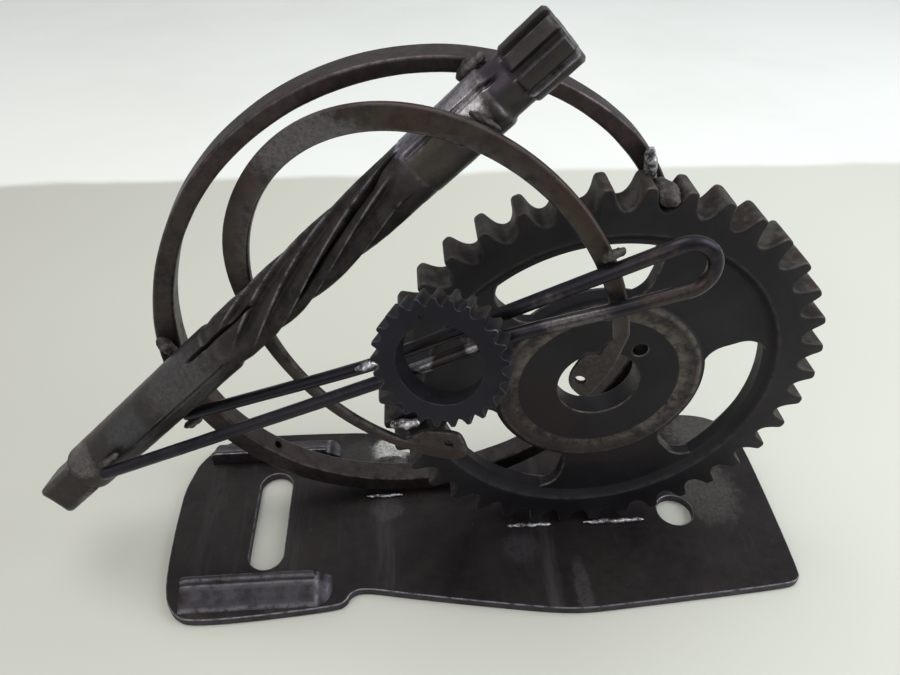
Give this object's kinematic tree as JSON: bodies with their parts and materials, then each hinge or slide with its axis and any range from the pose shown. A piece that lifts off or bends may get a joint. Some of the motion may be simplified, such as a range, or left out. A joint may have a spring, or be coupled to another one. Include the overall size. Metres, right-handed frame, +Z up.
{
  "type": "welded gear sculpture",
  "caption": "Free-standing welded sculpture of scrap machine parts: a toothed wheel, a smaller wheel, two rings, a fluted shaft and a bent rod on a slotted plate.",
  "frame": {"origin": "middle of the base plate's underside, on the surface it stands on", "axes": "+X along the base plate towards its round hole, +Y away from the front, +Z up"},
  "size_m": [0.2928, 0.1007, 0.2083],
  "materials": {
    "scaled_plate": "dark brown mill scale with dusty grey patches and worn edges",
    "blued_wheel": "blue-black, dusty on the upper tooth flanks, rust-brown round the bore",
    "blued_small_wheel": "blue-black satin with worn tooth tips",
    "rusty_bar": "dark red-brown scale, paler on its edges",
    "worn_spring_steel": "grey-brown with rust and rubbed bright edges",
    "tool_steel": "dark brown-grey with bright lands and polished collar patches",
    "blued_rod": "smooth blue-black",
    "weld_metal": "silver-lilac weld bead, rippled"
  },
  "bodies": {
    "root": {"base_plate": "scaled_plate", "large_toothed_wheel": "blued_wheel", "small_toothed_wheel": "blued_small_wheel", "large_ring": "rusty_bar", "small_open_ring": "worn_spring_steel", "fluted_shaft": "tool_steel", "hairpin_rod": "blued_rod", "weld_wheel_foot_left": "weld_metal", "weld_wheel_foot_right": "weld_metal", "weld_large_ring_foot_front": "weld_metal", "weld_large_ring_foot_back": "weld_metal", "weld_large_ring_to_wheel_top": "weld_metal", "weld_large_ring_to_wheel_gap": "weld_metal", "weld_large_ring_to_collar_left": "weld_metal", "weld_large_ring_to_collar_right": "weld_metal", "weld_large_ring_to_shank": "weld_metal", "weld_open_ring_to_collar": "weld_metal", "weld_open_ring_to_wheel": "weld_metal", "weld_open_ring_to_rod": "weld_metal", "weld_rod_lower_end": "weld_metal", "weld_rod_upper_end": "weld_metal", "weld_small_wheel_left": "weld_metal", "weld_small_wheel_bore": "weld_metal"}
  },
  "joints": []
}
